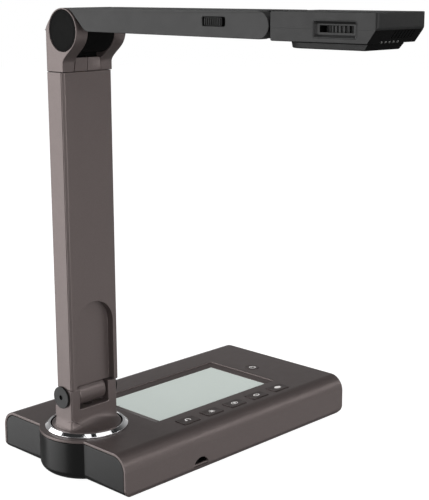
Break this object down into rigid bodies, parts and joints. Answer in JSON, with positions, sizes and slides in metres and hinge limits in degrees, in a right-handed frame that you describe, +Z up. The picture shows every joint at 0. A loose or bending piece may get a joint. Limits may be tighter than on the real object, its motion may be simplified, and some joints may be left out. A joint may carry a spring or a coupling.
{
  "type": "document camera",
  "caption": "Desktop document camera: flat base with display and keys, swivelling turret, folding mast and arm, tilting lens head.",
  "frame": {"origin": "on the turret's swivel axis, at the surface the feet stand on", "axes": "+X runs along the base's long side, from the turret towards the power button; -Y is the side the arm reaches over, and the keys are on it; +Z up"},
  "size_m": [0.265, 0.3566, 0.3506],
  "materials": {
    "taupe_shell": "satin",
    "taupe_casting": "satin",
    "key_top": "satin",
    "gloss_black": "gloss",
    "black_shell": "satin",
    "deep_black": "matte",
    "grey_plastic": "satin",
    "chrome": "polished",
    "steel": "satin",
    "rubber": "matte",
    "circuit_board": "satin",
    "display_window": "gloss",
    "lens_glass": "polished",
    "ribbon": "matte",
    "lamp": "gloss"
  },
  "bodies": {
    "base": {"base_shell": "taupe_shell", "end_cap_left": "gloss_black", "end_cap_right": "gloss_black", "bottom_cover": "black_shell", "cover_screw_1": "steel", "cover_screw_2": "steel", "cover_screw_3": "steel", "cover_screw_4": "steel", "foot_near_left": "rubber", "foot_far_left": "rubber", "foot_near_right": "rubber", "foot_far_right": "rubber", "foot_turret": "rubber", "ballast_plate": "steel", "main_board": "circuit_board", "keypad_board": "circuit_board", "display_glass": "display_window", "display_module": "grey_plastic", "card_reader": "deep_black", "port_block": "deep_black", "chrome_ring": "chrome", "swivel_housing": "grey_plastic"},
    "key_1": {"key_1": "key_top"},
    "key_2": {"key_2": "key_top"},
    "key_3": {"key_3": "key_top"},
    "key_4": {"key_4": "key_top"},
    "key_5": {"key_5": "key_top"},
    "power_button": {"power_button": "key_top"},
    "turret": {"turret_bracket": "taupe_casting", "swivel_nut": "steel", "lower_hinge_pin": "steel", "hinge_cap_left": "grey_plastic", "hinge_cap_right": "grey_plastic"},
    "mast": {"mast_knuckle": "taupe_casting", "mast_body": "taupe_shell", "mast_front_cover": "taupe_shell", "mast_ribbon_cable": "ribbon", "yoke_left": "taupe_shell", "yoke_right": "taupe_shell", "yoke_disc_left": "deep_black", "yoke_disc_right": "deep_black", "upper_shaft": "steel"},
    "arm": {"arm_knuckle": "deep_black", "arm_body": "black_shell", "arm_top_cover": "black_shell", "switch_body": "deep_black", "wrist_pin": "steel"},
    "lamp_slider": {"lamp_slider": "black_shell"},
    "head": {"head_upper_shell": "black_shell", "head_lower_shell": "black_shell", "head_knuckle": "deep_black", "focus_window_bezel": "black_shell", "lens_plate": "deep_black", "sensor_board": "circuit_board", "led_board": "lamp"},
    "focus": {"focus_ring": "black_shell", "lens_barrel": "deep_black", "lens_glass": "lens_glass"}
  },
  "joints": [
    {"name": "turret_swivel", "type": "hinge", "parent": "base", "child": "turret", "pos_m": [0, 0, 0.0379], "axis": [0, 0, 1], "range_deg": [-90, 90]},
    {"name": "mast_fold", "type": "hinge", "parent": "turret", "child": "mast", "pos_m": [0, 0, 0.0625], "axis": [-1, 0, 0], "range_deg": [0, 90]},
    {"name": "arm_fold", "type": "hinge", "parent": "mast", "child": "arm", "pos_m": [0, -0.013, 0.3348], "axis": [-1, 0, 0], "range_deg": [-88, 90]},
    {"name": "head_tilt", "type": "hinge", "parent": "arm", "child": "head", "pos_m": [0, -0.1964, 0.3422], "axis": [-1, 0, 0], "range_deg": [0, 90]},
    {"name": "focus_turn", "type": "hinge", "parent": "head", "child": "focus", "pos_m": [0, -0.2556, 0.34], "axis": [0, 0, 1], "range_deg": [-60, 60]},
    {"name": "lamp_switch", "type": "slide", "parent": "arm", "child": "lamp_slider", "axis": [0, -1, 0], "range_m": [0, 0.0018]},
    {"name": "key_1_press", "type": "slide", "parent": "base", "child": "key_1", "axis": [0, 0, -1], "range_m": [0, 0.0008], "stiffness_N_per_m": 300, "springref_m": -0.0005},
    {"name": "key_2_press", "type": "slide", "parent": "base", "child": "key_2", "axis": [0, 0, -1], "range_m": [0, 0.0008], "stiffness_N_per_m": 300, "springref_m": -0.0005},
    {"name": "key_3_press", "type": "slide", "parent": "base", "child": "key_3", "axis": [0, 0, -1], "range_m": [0, 0.0008], "stiffness_N_per_m": 300, "springref_m": -0.0005},
    {"name": "key_4_press", "type": "slide", "parent": "base", "child": "key_4", "axis": [0, 0, -1], "range_m": [0, 0.0008], "stiffness_N_per_m": 300, "springref_m": -0.0005},
    {"name": "key_5_press", "type": "slide", "parent": "base", "child": "key_5", "axis": [0, 0, -1], "range_m": [0, 0.0008], "stiffness_N_per_m": 300, "springref_m": -0.0005},
    {"name": "power_press", "type": "slide", "parent": "base", "child": "power_button", "axis": [0, 0, -1], "range_m": [0, 0.0008], "stiffness_N_per_m": 300, "springref_m": -0.0005}
  ]
}
